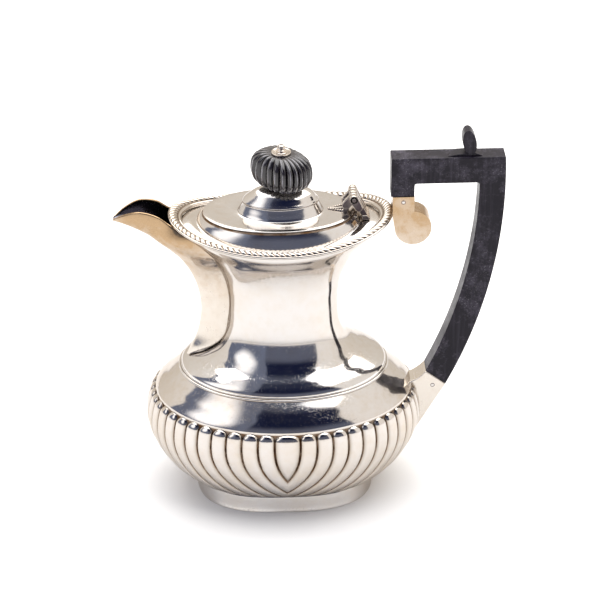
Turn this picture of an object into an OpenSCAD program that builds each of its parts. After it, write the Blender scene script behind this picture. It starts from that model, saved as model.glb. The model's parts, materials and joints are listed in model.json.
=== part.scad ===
// Oval silver teapot of the tall hot-water-pot form: a half-fluted bowl on a collet foot, a waisted neck,
// a saddle-shaped gadroon rim, an open beak spout, a hinged domed lid with a fluted black wood finial,
// and a square black wood handle held in two silver sockets.
// Millimetres. +Z up, the spout points along -X, and the origin is the middle of the foot on the table.

/* [Foot and bowl] */
// Half length of the foot
foot_a = 45.1; // [44.5:0.1:46]
// Half width of the foot
foot_b = 38.5; // [38:0.1:39.5]
// Height of the foot
foot_h = 8; // [7:0.5:8.5]
// Half length of the bowl's widest ring, in the grooves
belly_a = 68.2; // [67:0.1:69]
// Half width of the bowl's widest ring, in the grooves
belly_b = 51.5; // [50.5:0.1:52.5]
// Thickness of the silver sheet
sheet = 1.2; // [0.9:0.1:1.4]

/* [Flutes] */
// How far a lobe stands out at its head
lobe_depth = 1.6; // [0.8:0.1:2]
// Lobes from the middle of the front to the end of the bowl, beside the heart
quarter_lobes = 12; // [8:1:14]
// Half width of the heart in the middle of the front and back, in degrees round the bowl
heart = 5.5; // [4:0.5:7]
// How far the lobes sweep towards the middle by the time they reach the foot, in degrees
foot_sweep = 20.7; // [0:0.1:24]

/* [Rim and lid] */
// Half length of the gadroon rim
rim_a = 55.1; // [54.8:0.1:55.3]
// Half width of the gadroon rim
rim_b = 34.05; // [33.5:0.05:34.5]
// Height of the rim's outer edge at the front
rim_z = 143.8; // [143.4:0.1:144.2]
// How much higher the rim is at its ends
rim_rise = 7.4; // [7:0.1:7.6]
// Lobes round the gadroon rim
rim_lobes = 100; // [80:2:110]
// Height of the ledge that the lid closes on
seat_z = 151.5; // [151.4:0.1:151.6]

/* [Hinge] */
// Distance of the hinge axis from the middle, along X
hinge_x = 34.5; // [34.3:0.1:34.8]
// Height of the hinge axis
hinge_z = 160; // [159.5:0.5:160.5]
// Outer radius of the knuckles
knuckle_r = 2.5; // [2.3:0.1:2.6]
// Radius of the hinge pin
hinge_pin_r = 1; // [0.8:0.1:1.2]

/* [Handle and finial] */
// Thickness of the wood handle across Y
handle_t = 10.5; // [10:0.1:11]
// Height of the handle's top face
handle_z = 181; // [180.5:0.1:181.5]
// Turn of the finial on its bolt, in degrees
finial_turn = -48; // [-90:1:90]
// Flutes round the finial
finial_lobes = 24; // [18:2:30]

/* [Hidden] */

silver = "#cfcac2";
warm_silver = "#d3bfa6";
black_wood = "#232026";
sides = 64;
fit = 0.05;
plate_t = 1;
rim_x = -1;
lid_x = -2;

// Rings are [height, half length, half width, squareness, centre X, rise at the ends].
// The bowl's rings follow the bottoms of the grooves.
bowl_z = foot_h + plate_t;
head_z = 50;
head_r = 3.6;
bowl_rings = [
    [bowl_z, belly_a - 24.7, belly_b - 14.9, 2.7, 0, 0],
    [12.5, belly_a - 16.2, belly_b - 9.5, 2.4, 0, 0],
    [20, belly_a - 7.6, belly_b - 4.7, 2.2, 0, 0],
    [31, belly_a - 1.4, belly_b - 0.9, 2.05, 0, 0],
    [42, belly_a, belly_b, 2, 0, 0],
    [54, 65.2, 50.1, 2, 0, 0],
    [61, 58.4, 45, 2, 0, 0],
    [67, 51.6, 38.4, 2.05, 0, 0]];
girdle = bowl_rings[7];
neck_rings = [
    girdle,
    [69.8, 50.8, 37.3, 2.05, 0, 0],
    [73, 45.6, 34.4, 2.05, 0, 0],
    [77, 38.2, 30.2, 2.05, 0, 0],
    [82, 31.8, 26.2, 2.1, 0, 0],
    [90, 28.3, 23, 2.1, 0, 0],
    [100, 27.3, 21.7, 2.1, 0, 0],
    [110, 27.6, 21.6, 2.1, 0, 0.1],
    [120, 30, 22.5, 2.1, 0, 0.5],
    [131, 37.5, 26, 2.1, -0.5, 2.5],
    [139, 47.5, 30.4, 2.1, -0.9, 5.3],
    [rim_z - 1.8, rim_a - 3.4, rim_b - 3.1, 2.12, rim_x, lift(rim_a - 3.4)]];

// The rim's section: [distance in from the outer edge, height above it]
rim_section = [[0, 0], [0.9, 1.4], [3, 1.9], [5.6, 0.9], [6.7, -1], [3.6, -1.8], [1, -1.2]];
// Evens out the lobes round the oval, in degrees
even_turn = 6.8;
deck_rings = [
    [rim_z - 1.5, rim_a - 6.8, rim_b - 6.3, 2.12, rim_x, lift(rim_a - 6.8)],
    [rim_z - 1.3, 44, 27.75, 2.12, -1.4, 6.1],
    [rim_z - 1, 40.4, 27.6, 2.1, -1.8, 5.4],
    [rim_z + 1.4, 39.6, 26.8, 2.1, lid_x, 4],
    [148.6, 38.6, 25.3, 2.08, lid_x, 1.8],
    [150.8, 37.5, 24, 2.05, lid_x, 0.4],
    [seat_z, 37, 23.4, 2.05, lid_x, 0]];
mouth_a = 36;
mouth_b = 22.4;
// The plate's underside: straight below the deck, and inside the step
under_rings = [for (i = [0 : 5]) deck_rings[i] + (i < 3 ? [-1.4, -0.3, -0.9, 0, 0, 0] : [-0.9, -1, -1, 0, 0, 0])];

// The lid closes 0.25 mm above its ledge, and its flange clears the mouth as it swings out.
lid_z = seat_z + 0.25;
lid_flat_z = seat_z + 0.95;
dome_x = lid_x + 1;
finial_x = lid_x + 1.5;
lid_rings = [
    [lid_z, 37, 23.4, 2.05, lid_x, 0],
    [lid_flat_z, 36.8, 23.2, 2.05, lid_x, 0],
    [lid_flat_z, 30, 18.2, 2.05, lid_x, 0],
    [lid_flat_z, 22, 14.6, 2, lid_x + 0.8, 0],
    [153.3, 20.7, 13.6, 2, dome_x, 0],
    [155.2, 19.6, 12.6, 2, dome_x, 0],
    [157.5, 18.5, 11.5, 2, dome_x, 0],
    [158.7, 18.5, 11.6, 2, dome_x, 0],
    [160, 17.4, 10.6, 2, dome_x, 0],
    [161.8, 15.6, 9.2, 2, finial_x, 0],
    [163.4, 13.2, 7.6, 2, finial_x, 0],
    [164.5, 10, 5.9, 2, finial_x, 0],
    [165.1, 5, 3.2, 2, finial_x, 0]];
flange_a = 35.1;
flange_b = 21.8;
lid_top_z = 165.1;

// The spout's stations from its foot on the neck to its lip: [keel, edge, half width], points in XZ
spout_stations = [
    [[-48.6, 72.4], [-47.4, 72.6], 1.6],
    [[-46.4, 77.5], [-39.4, 77], 4.9],
    [[-43.2, 85], [-30, 84.4], 5.1],
    [[-41.2, 95], [-27.4, 95], 5.2],
    [[-41.4, 105], [-26.6, 105], 5.6],
    [[-44, 115.5], [-28, 116], 6.2],
    [[-49.4, 125.5], [-31.4, 126], 8.6],
    [[-56, 133], [-35.6, 134], 12.8],
    [[-61.4, 137.6], [-44.6, 143.6], 14],
    [[-65.4, 140.6], [-55.4, 150], 10],
    [[-70, 143.4], [-62, 154.5], 9.2],
    [[-75.2, 146], [-70, 156], 7.6],
    [[-79.6, 147.8], [-77.2, 153.4], 5],
    [[-83, 148.8], [-82.6, 149.8], 1.8]];
spout_sheet = 1.3;
strainer_r = 1.1;

// Handle: concentric arcs for the grip, square bars above it. Points in XZ.
arc_x = -149;
arc_z = 166.5;
grip_outer_r = 257.2;
grip_inner_r = 244.5;
leg_left = 52.5;
leg_right = 63.9;
bar_z = 167.4;
leg_z = 160.6;
grip_end = [71.8, 61.4];
grip_end_turn = -37.5;
grip_end_w = 13;
tenon_w = 6.6;
tenon_l = 8;
tenon_t = 6.8;
socket_t = 11.2;
fillet_r = 1.2;
thumb = [90.2, handle_z + 6.8];
thumb_a = 3.3;
thumb_b = 6.6;
volute = [63.6, 143.6];
volute_r = 9;
upper_pin = [58.6, 157.8];
lower_pin = [75.4, 53.2];
rivet_r = 1.1;
// Radius of the rim's end seen from above, and of the bowl's end
rim_end_r = rim_b * rim_b / rim_a;
bowl_end_r = 40;

finial_z = lid_top_z + 0.1;
washer_z = 183.2;
finial_rings = [
    [finial_z, 6.5, 5.2, 2, 0, 0],
    [166.3, 10.8, 8.2, 2.3, 0, 0],
    [168.4, 14.4, 10.2, 2.6, 0, 0],
    [172.8, 16.1, 11.1, 2.8, 0, 0],
    [178.6, 15.5, 10.6, 2.8, 0, 0],
    [181.6, 12.9, 9.2, 2.6, 0, 0],
    [183, 9.2, 7.2, 2.2, 0, 0],
    [washer_z, 5, 5, 2, 0, 0]];
bolt_r = 1.2;
bolt_hole_r = 1.35;
washer_r = 4.85;
washer_t = 1;

function lift(a) = rim_rise * pow(a / rim_a, 2);

// A value on the smooth curve through the list p, for u from 0 to 1
function smooth(p, u) =
    let (n = len(p) - 1, i = min(floor(u * n), n - 1), t = u * n - i, b = p[i], c = p[i + 1],
        a = i > 0 ? p[i - 1] : 2 * b - c, d = i + 2 <= n ? p[i + 2] : 2 * c - b)
    (2 * b + t * (c - a) + t * t * (2 * a - 5 * b + 4 * c - d) + t * t * t * (3 * b - 3 * c + d - a)) / 2;

// The point of ring s at the angle q round it, moved outwards by out. q = 0 is the middle of the front.
function ring_point(s, q, out = 0) =
    let (k = pow(pow(abs(sin(q)), s[3]) + pow(abs(cos(q)), s[3]), -1 / s[3]),
        x = (s[1] + out) * k * sin(q))
    [s[4] + x, -(s[2] + out) * k * cos(q), s[0] + s[5] * pow(x / s[1], 2)];

function ring(s, n = sides) = [for (i = [0 : n - 1]) ring_point(s, 360 * i / n)];

// The same ring on the inner face of a sheet of thickness t, level with it at both ends of the profile
function inner(p, u, t) =
    let (h = 0.02, d = smooth(p, min(1, u + h)) - smooth(p, max(0, u - h)),
        run = (d[1] + d[2]) / 2, climb = d[0] + d[5] / 2, w = norm([run, climb]),
        end = u <= 0 || u >= 1)
    smooth(p, u) + (end ? [0, -t, -t, 0, 0, 0] : [t * run, -t * climb, -t * climb, 0, 0, 0] / w);

// A solid through a list of rings of equally many points. wrap joins the last ring to the first.
module loft(rings, wrap = true) {
    n = len(rings[0]);
    m = len(rings);
    walls = [for (r = [0 : m - (wrap ? 1 : 2)], i = [0 : n - 1])
        [r * n + i, (r + 1) % m * n + i, (r + 1) % m * n + (i + 1) % n, r * n + (i + 1) % n]];
    top = (m - 1) * n;
    caps = wrap ? [] : [for (i = [0 : n / 2 - 2]) each [[i, i + 1, n - 2 - i, n - 1 - i],
        [top + n - 1 - i, top + n - 2 - i, top + i + 1, top + i]]];
    polyhedron([for (r = rings) each r], concat(walls, caps), convexity = 8);
}

// A sheet-metal wall that follows the profile p in m steps
module shell(p, t, m, n = sides) {
    loft(concat([for (k = [0 : m]) ring(smooth(p, k / m), n)],
        [for (k = [m : -1 : 0]) ring(inner(p, k / m, t), n)]));
}

// A shape drawn in XZ, extruded across Y to the thickness t
module across(t) {
    rotate([90, 0, 0]) linear_extrude(t, center = true) children();
}

// A round bar across Y at the point p of XZ
module cross_bar(p, r, l) {
    translate([p[0], 0, p[1]]) rotate([90, 0, 0]) cylinder(h = l, r = r, center = true, $fn = 40);
}

// ---- bowl with its flutes ----

function sweep(z) = foot_sweep * pow(max(0, head_z - z) / (head_z - bowl_z), 2.6);

// Angle from the nearer of the front and back middles, 0 to 90
function fold(q) = let (h = q % 180) h < 90 ? h : 180 - h;

// The lobe profile across its width: 0 in the groove and 1 on the crest. f is a folded angle.
function lobe(f, z) =
    let (s = sweep(z), t1 = f + s * cos(f), t2 = f + s * cos(t1), t = min(90, f + s * cos(t2)),
        phase = t < heart ? 0.5 + t / heart / 2 : (t - heart) * quarter_lobes / (90 - heart) % 1,
        head = max(0, z - head_z) / head_r)
    max(0, 1 - pow(2 * phase - 1, 2) - head * head);

// A column's angle: it follows its lobe down, and bends away from the middle where the lobes meet
function column(top, z) =
    let (soft = 3, s = sweep(z), d = top - s * cos(top), at = (d + sqrt(d * d + soft * soft)) / 2,
        start = (-s + sqrt(s * s + soft * soft)) / 2)
    at - start * (1 - top / 90) - (sqrt(8100 + soft * soft) - 90) / 2 * top / 90;

quarter_tops = concat([for (i = [0 : 1]) i * heart / 2],
    [for (i = [0 : 3 * quarter_lobes - 1]) heart + i * (90 - heart) / quarter_lobes / 3]);

// All columns' angles round the bowl at the height z
function columns(z) = concat(
    [for (t = quarter_tops) column(t, z)],
    [90],
    [for (i = [len(quarter_tops) - 1 : -1 : 1]) 180 - column(quarter_tops[i], z)],
    [for (t = quarter_tops) 180 + column(t, z)],
    [270],
    [for (i = [len(quarter_tops) - 1 : -1 : 1]) 360 - column(quarter_tops[i], z)]);

function fluted_ring(s) =
    let (depth = lobe_depth * (0.45 + 0.55 * min(1, (s[0] - bowl_z) / 30)))
    [for (q = columns(s[0])) ring_point(s, q, depth * lobe(fold(q), s[0]))];

module bowl() {
    outer_steps = 15;
    inner_steps = 5;
    color(silver) loft(concat(
        [for (k = [0 : outer_steps]) fluted_ring(smooth(bowl_rings, k / outer_steps))],
        [for (k = [inner_steps : -1 : 0]) let (s = inner(bowl_rings, k / inner_steps, sheet))
            [for (q = columns(s[0])) ring_point(s, q)]]));
}

module foot() {
    section = [[0, 0], [0, 1.4], [0.7, 2.2], [1.5, foot_h], [3.6, foot_h], [3, 0]];
    color(silver) loft([for (p = section) ring([p[1], foot_a - p[0], foot_b - p[0], 2.8, 0, 0])]);
}

module bottom_plate() {
    s = bowl_rings[0];
    color(silver) loft([for (z = [foot_h, bowl_z]) ring([z, s[1], s[2], s[3], 0, 0])], wrap = false);
}

module girdle_wire() {
    section = [[1.05, -1], [1.7, -0.8], [1.45, 0.1], [0.75, 0.75], [0.1, 1.5], [-0.95, 1.05]];
    color(silver) loft([for (p = section)
        ring(girdle + [p[1], p[0], p[0], 0, 0, 0])]);
}

// ---- neck, spout and rim ----

module neck() {
    color(silver) difference() {
        shell(neck_rings, sheet, 14);
        for (row = [0 : 6], side = [-1, 1])
            translate([-44, side * 2.2, 93 + row * 4.6]) rotate([0, 90, 0])
                cylinder(h = 26, r = strainer_r, $fn = 16);
    }
}

// One cross-section of the spout's channel: out along the outer face and back along the inner
function spout_section(s) =
    let (n = 6, keel = s[0], edge = s[1], l = norm(edge - keel),
        in = keel + min(spout_sheet / l, 0.6) * (edge - keel), u = [for (i = [-n : n]) 90 * i / n])
    concat(
        [for (q = u) let (p = keel + (edge - keel) * (1 - cos(q))) [p[0], s[2] * sin(q), p[1]]],
        [for (i = [2 * n : -1 : 0]) let (p = in + (edge - in) * (1 - cos(u[i])))
            [p[0], (s[2] - min(spout_sheet, 0.7 * s[2])) * sin(u[i]), p[1]]]);

module spout() {
    steps = 26;
    color(warm_silver) loft([for (k = [0 : steps]) spout_section(smooth(spout_stations, k / steps))],
        wrap = false);
}

module rim_border() {
    n = 2 * rim_lobes;
    color(silver) loft([for (p = rim_section)
        let (a = rim_a - p[0], b = rim_b - 0.93 * p[0], s = [rim_z + p[1], a, b, 2.12, rim_x, lift(a)])
        [for (i = [0 : n - 1]) let (q = 360 * i / n)
            ring_point(s, q - even_turn * sin(2 * q), p[1] > -1 ? -0.4 * (i % 2) : 0)]]);
}

module cover_plate() {
    steps = 8;
    mouth = [[seat_z, mouth_a, mouth_b, 2.05, lid_x, 0], [seat_z - 1.4, mouth_a, mouth_b, 2.05, lid_x, 0]];
    color(silver) loft(concat(
        [for (k = [0 : steps]) ring(smooth(deck_rings, k / steps))],
        [for (s = mouth) ring(s)],
        [for (k = [steps - 2 : -1 : 0]) ring(smooth(under_rings, k / (steps - 2)))]));
}

// ---- handle and its sockets ----

module arc_band() {
    difference() {
        translate([arc_x, arc_z]) circle(r = grip_outer_r, $fn = 200);
        translate([arc_x, arc_z]) circle(r = grip_inner_r, $fn = 200);
    }
}

// Everything on the grip's side of its lower end
module above_grip_end() {
    translate(grip_end) rotate(grip_end_turn) translate([-140, 0]) square([260, 300]);
}

module upper_tenon(grow = 0) {
    w = tenon_w + 2 * grow;
    translate([(leg_left + leg_right) / 2 - w / 2, leg_z - tenon_l - grow]) square([w, tenon_l + grow + 1]);
}

module lower_tenon(grow = 0) {
    w = tenon_w + 2 * grow;
    translate(grip_end) rotate(grip_end_turn)
        translate([(grip_end_w - w) / 2, -tenon_l - grow]) square([w, tenon_l + grow + 1]);
}

module thumb_piece() {
    lean = 10;
    polygon([for (q = [0 : 10 : 350]) let (x = thumb_a * cos(q), z = thumb_b * sin(q))
        thumb + [x * cos(lean) - z * sin(lean), x * sin(lean) + z * cos(lean)]]);
    polygon([[79, handle_z - 0.5], [82, handle_z + 0.3], [87.4, handle_z + 2.4], [93, handle_z + 2.4],
        [95.6, handle_z + 0.6], [97, handle_z - 0.5]]);
}

// Fillet of radius r in the inner corner at p, that opens towards the directions x and z
module corner_fillet(p, x, z, r) {
    difference() {
        translate([p[0] + min(0, x * r), p[1] + min(0, z * r)]) square(r);
        translate(p + [x * r, z * r]) circle(r = r, $fn = 32);
    }
}

module handle() {
    thumb_t = 7;
    color(black_wood) difference() {
        union() {
            across(handle_t) union() {
                translate([leg_left, bar_z]) square([95.6 - leg_left, handle_z - bar_z]);
                translate([leg_left, leg_z]) square([leg_right - leg_left, bar_z - leg_z + 1]);
                corner_fillet([leg_right, bar_z], 1, -1, fillet_r);
                corner_fillet([arc_x + sqrt(pow(grip_inner_r, 2) - pow(bar_z - arc_z, 2)), bar_z], -1, -1,
                    fillet_r);
                intersection() {
                    arc_band();
                    above_grip_end();
                    translate([60, 40]) square([60, handle_z - 40]);
                }
            }
            across(thumb_t) thumb_piece();
            across(tenon_t) upper_tenon();
            across(tenon_t) lower_tenon();
        }
        cross_bar(upper_pin, rivet_r + fit, handle_t + 4);
        cross_bar(lower_pin, rivet_r + fit, handle_t + 4);
    }
}

module upper_socket() {
    color(warm_silver) difference() {
        across(socket_t) union() {
            polygon([[leg_left + 0.9, leg_z], [leg_left + 0.9, 150], volute - [volute_r, 0],
                [leg_right + 0.1, volute[1]], [leg_right + 0.1, leg_z]]);
            translate(volute) circle(r = volute_r, $fn = 64);
        }
        across(tenon_t + 2 * fit) upper_tenon(fit);
        cross_bar(upper_pin, rivet_r + fit, socket_t + 4);
        translate([rim_x + rim_a - rim_end_r, 0, rim_z + rim_rise - 3])
            cylinder(h = 6, r = rim_end_r, $fn = 96);
    }
}

module lower_socket() {
    tail = [67.2, 27];
    color(warm_silver) difference() {
        across(socket_t) polygon([grip_end, [82.1, 53.5], [79.4, 48.6], [76.6, 43.6], [73.6, 38],
            [71, 32.4], tail, [60, tail[1] + 4], [60, 54], [64.4, 55.6], [67, 57], [69.6, 59]]);
        across(tenon_t + 2 * fit) lower_tenon(fit);
        cross_bar(lower_pin, rivet_r + fit, socket_t + 4);
        // the bowl's end, taken as round where the socket meets it
        translate([belly_a + lobe_depth - bowl_end_r, 0, 0]) rotate_extrude($fn = 96)
            polygon(concat([[0, 12]], [for (k = [1 : 12]) let (s = smooth(bowl_rings, k / 12))
                [s[1] - belly_a + bowl_end_r, s[0]]], [[0, 66.6]]));
    }
}

module socket_pin(p) {
    color(silver) cross_bar(p, rivet_r, socket_t + 0.3);
}

// ---- lid and hinge ----

module lid() {
    steps = 18;
    hole = 1.7;
    color(silver) loft(concat(
        [for (k = [0 : steps]) ring(smooth(lid_rings, k / steps))],
        [for (z = [lid_top_z, lid_top_z - 1.1]) ring([z, hole, hole, 2, finial_x, 0])],
        [ring([lid_top_z - 1.1, 4.6, 3.2, 2, finial_x, 0])],
        [for (k = [steps - 2 : -2 : 8]) ring(inner(lid_rings, k / steps, 1.1))],
        [for (k = [5, 4, 2]) let (s = smooth(lid_rings, k / steps))
            ring([lid_z, s[1] - 0.5, s[2] - 0.5, s[3], s[4], 0])]));
}

module lid_flange() {
    section = [[0, -0.02], [0.05, -3.4], [1, -3.4], [1, -0.02]];
    color(silver) loft([for (p = [section[3], section[2], section[1], section[0]])
        ring([lid_z + p[1], flange_a - p[0], flange_b - p[0], 2.05, lid_x, 0])]);
}

// Knuckles of one side of the hinge: [middle, length] of each along Y
module knuckles(list) {
    for (k = list) translate([hinge_x, k[0], hinge_z]) rotate([90, 0, 0])
        cylinder(h = k[1], r = knuckle_r, center = true, $fn = 48);
}

module hinge_bore() {
    cross_bar([hinge_x, hinge_z], hinge_pin_r + fit, 30);
}

pot_knuckles = [[-5.4, 2.6], [0, 2.6], [5.4, 2.6]];
lid_knuckles = [[-2.7, 2.4], [2.7, 2.4]];
hinge_l = 13.4;

module hinge_knuckles_pot() {
    color(silver) difference() {
        union() {
            knuckles(pot_knuckles);
            for (k = pot_knuckles) translate([0, k[0], 0]) across(k[1]) polygon([[hinge_x - 1, 157.9],
                [hinge_x + 2.3, 160.8], [38.2, 157.6], [39.6, 153.4], [40.6, 150.6], [38.4, 150.6],
                [36.4, 153.4], [34.6, 155]]);
            across(hinge_l) polygon([[38.4, 148.4], [38.4, 151.2], [41, 151.2], [42.6, 149.6], [42.6, 148.6]]);
        }
        hinge_bore();
    }
}

module hinge_knuckles_lid() {
    color(silver) difference() {
        union() {
            knuckles(lid_knuckles);
            for (k = lid_knuckles) translate([0, k[0], 0]) across(k[1]) polygon([[hinge_x + 0.4, 157.7],
                [hinge_x - 2.2, 161], [30, 158], [28.6, 156], [28.4, 153.6], [28.6, lid_flat_z],
                [32.4, lid_flat_z], [32.8, 154.4], [33.4, 156]]);
            across(9.6) polygon([[26, lid_flat_z], [26.6, lid_flat_z + 0.9], [32.2, lid_flat_z + 1.2],
                [32.8, lid_flat_z]]);
            across(3) polygon([[21.8, lid_flat_z], [22.6, lid_flat_z + 0.9], [27, lid_flat_z + 0.9],
                [27, lid_flat_z]]);
        }
        hinge_bore();
    }
}

module hinge_pin() {
    color(silver) cross_bar([hinge_x, hinge_z], hinge_pin_r, hinge_l + 0.6);
}

// ---- finial and its fastening ----

module on_bolt(z) {
    translate([finial_x, 0, z]) children();
}

module finial() {
    steps = 12;
    n = 2 * finial_lobes;
    color(black_wood) on_bolt(0) difference() {
        rotate(finial_turn) loft([for (k = [0 : steps]) let (s = smooth(finial_rings, k / steps))
            [for (i = [0 : n - 1]) ring_point(s, 360 * i / n, -(i % 2) * min(1.1, s[1] / 12))]], wrap = false);
        translate([0, 0, 160]) cylinder(h = 40, r = bolt_hole_r, $fn = 32);
    }
}

module finial_washer() {
    color(silver) on_bolt(washer_z) difference() {
        cylinder(h = washer_t, r = washer_r, $fn = 64);
        translate([0, 0, -1]) cylinder(h = 4, r = bolt_hole_r, $fn = 32);
    }
}

module finial_bolt() {
    bolt_end = 160.4;
    color(silver) on_bolt(washer_z + washer_t) difference() {
        union() {
            translate([0, 0, bolt_end - washer_z - washer_t])
                cylinder(h = washer_z + washer_t - bolt_end, r = bolt_r, $fn = 32);
            cylinder(h = 1.4, r = 2.4, $fn = 48);
            intersection() {
                cylinder(h = 3.6, r = 2, $fn = 48);
                translate([0, 0, 1.2]) sphere(r = 2.4, $fn = 48);
            }
        }
        translate([-4, -0.4, 2.8]) cube([8, 0.8, 2]);
    }
}

module inner_washer() {
    color(silver) on_bolt(lid_top_z - 2.1) difference() {
        cylinder(h = 0.9, r = 3.2, $fn = 48);
        translate([0, 0, -1]) cylinder(h = 4, r = bolt_hole_r, $fn = 32);
    }
}

module finial_nut() {
    color(silver) on_bolt(lid_top_z - 4.2) difference() {
        cylinder(h = 2.1, r = 2.9, $fn = 6);
        translate([0, 0, -1]) cylinder(h = 5, r = bolt_r + 0.03, $fn = 32);
    }
}

foot();
bottom_plate();
bowl();
girdle_wire();
neck();
spout();
rim_border();
cover_plate();
hinge_knuckles_pot();
hinge_pin();
upper_socket();
lower_socket();
handle();
socket_pin(upper_pin);  // upper_socket_pin
socket_pin(lower_pin);  // lower_socket_pin
lid();
lid_flange();
hinge_knuckles_lid();
finial();
finial_washer();
finial_bolt();
inner_washer();
finial_nut();
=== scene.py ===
"""Looks of the silver teapot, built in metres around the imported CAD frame.

The shapes repeat the CAD part's rings and outlines at full detail. Rings and outlines are in millimetres
and turn into metres when a mesh is made. -X is the spout's side, +X the handle's, -Y the camera's.
"""
import json
import math

import bmesh
import bpy
import numpy as np
from mathutils import Matrix, Vector


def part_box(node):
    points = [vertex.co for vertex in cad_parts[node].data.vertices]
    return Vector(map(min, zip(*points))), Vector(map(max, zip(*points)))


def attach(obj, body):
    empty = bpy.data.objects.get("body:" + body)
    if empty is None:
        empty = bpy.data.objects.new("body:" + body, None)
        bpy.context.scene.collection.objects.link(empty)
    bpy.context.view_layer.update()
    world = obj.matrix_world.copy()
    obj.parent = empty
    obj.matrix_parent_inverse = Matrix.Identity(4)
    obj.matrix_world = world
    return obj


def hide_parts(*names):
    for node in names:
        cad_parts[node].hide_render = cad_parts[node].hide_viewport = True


MM = 0.001
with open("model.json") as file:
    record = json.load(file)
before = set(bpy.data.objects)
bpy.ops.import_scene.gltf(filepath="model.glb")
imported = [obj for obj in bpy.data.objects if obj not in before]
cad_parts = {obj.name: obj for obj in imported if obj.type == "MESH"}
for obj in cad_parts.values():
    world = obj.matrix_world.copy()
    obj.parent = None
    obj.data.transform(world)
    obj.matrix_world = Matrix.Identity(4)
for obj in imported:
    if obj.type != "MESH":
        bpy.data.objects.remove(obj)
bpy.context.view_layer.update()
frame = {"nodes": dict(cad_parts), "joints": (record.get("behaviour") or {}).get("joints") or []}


# ---------------------------------------------------------------- the frame's measures, in millimetres

def span(node):
    """The lowest and highest corner of a CAD node, in millimetres."""
    low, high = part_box(node)
    return np.array(low) / MM, np.array(high) / MM


def middle(node):
    low, high = span(node)
    return (low + high) / 2


foot_a, foot_b, foot_h = span("foot")[1]
bowl_z = span("bowl")[0][2]
rim_low, rim_high = span("rim_border")
rim_x = (rim_low[0] + rim_high[0]) / 2
rim_a = (rim_high[0] - rim_low[0]) / 2
rim_b = rim_high[1]
rim_z = rim_low[2] + 1.8
rim_rise = 7.4
lid_z = span("lid")[0][2]
lid_top = span("lid")[1][2]
seat_z = lid_z - 0.25
lid_x = -2
flange_low, flange_high = span("lid_flange")
finial_low, finial_high = span("finial")
bolt_low, bolt_high = span("finial_bolt")
bolt_x = middle("finial_bolt")[0]
washer_low, washer_high = span("finial_washer")
hinge = np.array(frame["joints"][0]["pos_m"]) / MM
hinge_half = span("hinge_pin")[1][1]
upper_pin = middle("upper_socket_pin")
lower_pin = middle("lower_socket_pin")
handle_t = 2 * span("handle")[1][1]
socket_t = 2 * span("upper_socket")[1][1]
sheet = 1.2

belly_a, belly_b = 68.2, 51.5
quarter_lobes = 12
heart = 5.5
foot_sweep = 20.7
lobe_depth = 1.6
head_z = 50
head_r = 3.6


# ---------------------------------------------------------------- rings and meshes

def lift(a):
    """How much higher the ends of a ring of half length a are, near the rim."""
    return rim_rise * (a / rim_a) ** 2


def smooth(points, u):
    """Values on the smooth curve through the rows of points, for each u from 0 to 1."""
    p = np.asarray(points, float)
    p = np.vstack([2 * p[0] - p[1], p, 2 * p[-1] - p[-2]])
    n = len(p) - 3
    u = np.clip(np.atleast_1d(u), 0, 1)
    i = np.minimum((u * n).astype(int), n - 1)
    t = (u * n - i)[:, None]
    a, b, c, d = p[i], p[i + 1], p[i + 2], p[i + 3]
    bend, twist = 2 * a - 5 * b + 4 * c - d, 3 * b - 3 * c + d - a
    return (2 * b + t * (c - a) + t ** 2 * bend + t ** 3 * twist) / 2


def ring_points(s, q, out=0):
    """Points of the rings s at the angles q (degrees, 0 in the middle of the front), moved outwards by out.

    s holds rows of [height, half length, half width, squareness, centre X, rise at the ends].
    """
    s = np.asarray(s, float)[:, None, :]
    sin, cos = np.sin(np.radians(q)), np.cos(np.radians(q))
    n = s[..., 3]
    k = (np.abs(sin) ** n + np.abs(cos) ** n) ** (-1 / n)
    x = (s[..., 1] + out) * k * sin
    y = -(s[..., 2] + out) * k * cos
    z = s[..., 0] + s[..., 5] * (x / s[..., 1]) ** 2
    return np.stack(np.broadcast_arrays(s[..., 4] + x, y, z), -1)


def inset(points, u, t):
    """The rings on the inner face of a sheet of thickness t, for each u from 0 to 1."""
    h = 0.004
    u = np.atleast_1d(u)
    d = smooth(points, u + h) - smooth(points, u - h)
    run, climb = (d[:, 1] + d[:, 2]) / 2, d[:, 0] + d[:, 5] / 2
    w = np.hypot(run, climb)
    s = smooth(points, u)
    ends = (u <= 0) | (u >= 1)
    s[:, 0] += np.where(ends, 0, t * run / w)
    s[:, 1] -= np.where(ends, t, t * climb / w)
    s[:, 2] -= np.where(ends, t, t * climb / w)
    return s


def turn(n):
    """n equal angles round a ring, in degrees."""
    return np.arange(n) * 360 / n


def new_object(name, verts, faces, sharp=40, masks=None):
    """A smooth-shaded mesh object from points in millimetres. masks are values for each point, by name."""
    mesh = bpy.data.meshes.new(name)
    mesh.from_pydata((np.asarray(verts, float).reshape(-1, 3) * MM).tolist(), [], faces)
    mesh.validate()
    for mask, values in (masks or {}).items():
        layer = mesh.attributes.new(mask, "FLOAT", "POINT")
        layer.data.foreach_set("value", np.ravel(values).astype(np.float32))
    mesh.shade_smooth()
    mesh.set_sharp_from_angle(angle=math.radians(sharp))
    obj = bpy.data.objects.new(name, mesh)
    bpy.context.scene.collection.objects.link(obj)
    return obj


def grid_faces(rows, columns, wrap, start=0, closed=True):
    """Quads over a grid of points whose columns go round. wrap joins the last row to the first."""
    r = np.arange(rows if wrap else rows - 1)
    c = np.arange(columns if closed else columns - 1)
    r, c = np.meshgrid(r, c, indexing="ij")
    r1, c1 = (r + 1) % rows, (c + 1) % columns
    quads = np.stack([r * columns + c, r * columns + c1, r1 * columns + c1, r1 * columns + c], -1)
    return (quads.reshape(-1, 4) + start).tolist()


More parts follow.
